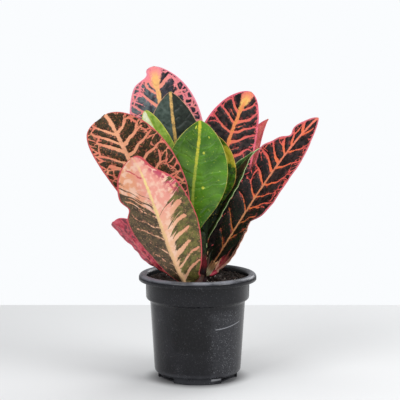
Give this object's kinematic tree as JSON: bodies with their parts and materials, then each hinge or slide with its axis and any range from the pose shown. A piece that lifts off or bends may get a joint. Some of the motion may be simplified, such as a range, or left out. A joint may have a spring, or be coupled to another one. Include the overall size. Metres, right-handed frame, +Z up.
{
  "type": "potted croton",
  "caption": "Small croton in a plain black nursery pot with a rolled rim: broad waved leaves on long stalks stand round a short woody stem in dark soil.",
  "frame": {"origin": "middle of the pot's flat base, on the surface it stands on", "axes": "+Z up; the picture's view looks along +Y, and +X is to the right in it"},
  "size_m": [0.2305, 0.1528, 0.3152],
  "materials": {
    "pot": "thin black blow-moulded plastic, half gloss, dusty",
    "soil": "matt, crumbly potting soil with small pale grains",
    "stem": "young bark, matt",
    "leaf_pink": "dull underside, salmon veins between olive blotches",
    "leaf_olive": "half gloss, olive patches between salmon veins",
    "leaf_crimson": "half gloss, crimson with dark blotches",
    "leaf_dark": "glossy, near-black patches between coral veins",
    "leaf_deep_green": "glossy deep green with a tan midrib",
    "leaf_green": "glossy bright green with a yellow midrib and spots"
  },
  "bodies": {
    "root": {"pot": "pot", "soil": "soil", "stem": "stem", "leaf_front_left": "leaf_pink", "leaf_left": "leaf_olive", "leaf_low_left": "leaf_crimson", "leaf_back_left": "leaf_dark", "leaf_dark_green": "leaf_deep_green", "leaf_young": "leaf_green", "leaf_centre": "leaf_green", "leaf_behind_centre": "leaf_green", "leaf_curled": "leaf_deep_green", "leaf_back_right": "leaf_dark", "leaf_red_back": "leaf_crimson", "leaf_right": "leaf_dark", "leaf_low_right": "leaf_crimson", "leaf_rear_left": "leaf_dark", "leaf_rear_right": "leaf_dark"}
  },
  "joints": []
}
